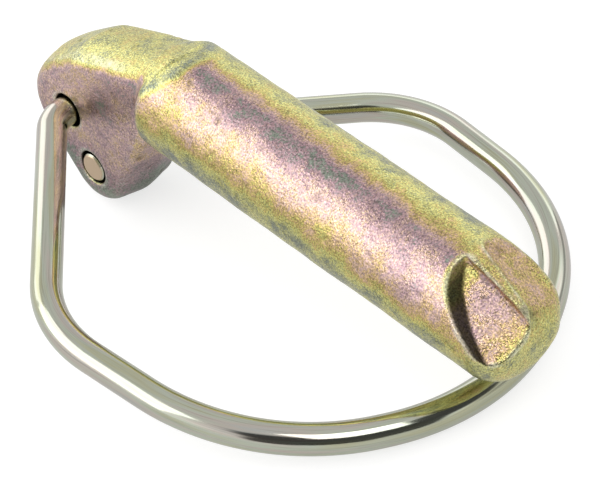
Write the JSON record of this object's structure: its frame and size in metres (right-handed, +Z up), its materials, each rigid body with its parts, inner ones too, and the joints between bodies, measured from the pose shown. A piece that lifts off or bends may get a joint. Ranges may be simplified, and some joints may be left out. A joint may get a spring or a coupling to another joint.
{
  "type": "lynch pin",
  "caption": "Forged round locking pin with a drop-shaped head and a sprung wire ring that snaps shut below its nose.",
  "frame": {"origin": "on the shaft's axis, where the round shaft comes out of the head", "axes": "+X along the shaft towards its nose, +Z up with the head hanging down, +Y to the side"},
  "size_m": [0.0624, 0.0501, 0.0229],
  "materials": {
    "forged_yellow_zinc": "grainy forged steel, yellow zinc plated, iridescent",
    "zinc_wire": "smooth drawn wire, zinc plated"
  },
  "bodies": {
    "pin": {"pin_body": "forged_yellow_zinc"},
    "ring": {"spring_ring": "zinc_wire"}
  },
  "joints": [
    {"name": "ring_swing", "type": "hinge", "parent": "pin", "child": "ring", "pos_m": [-0.0104, 0, -0.0101], "axis": [0, 1, 0], "range_deg": [0, 180], "deforming": ["spring_ring"]}
  ]
}
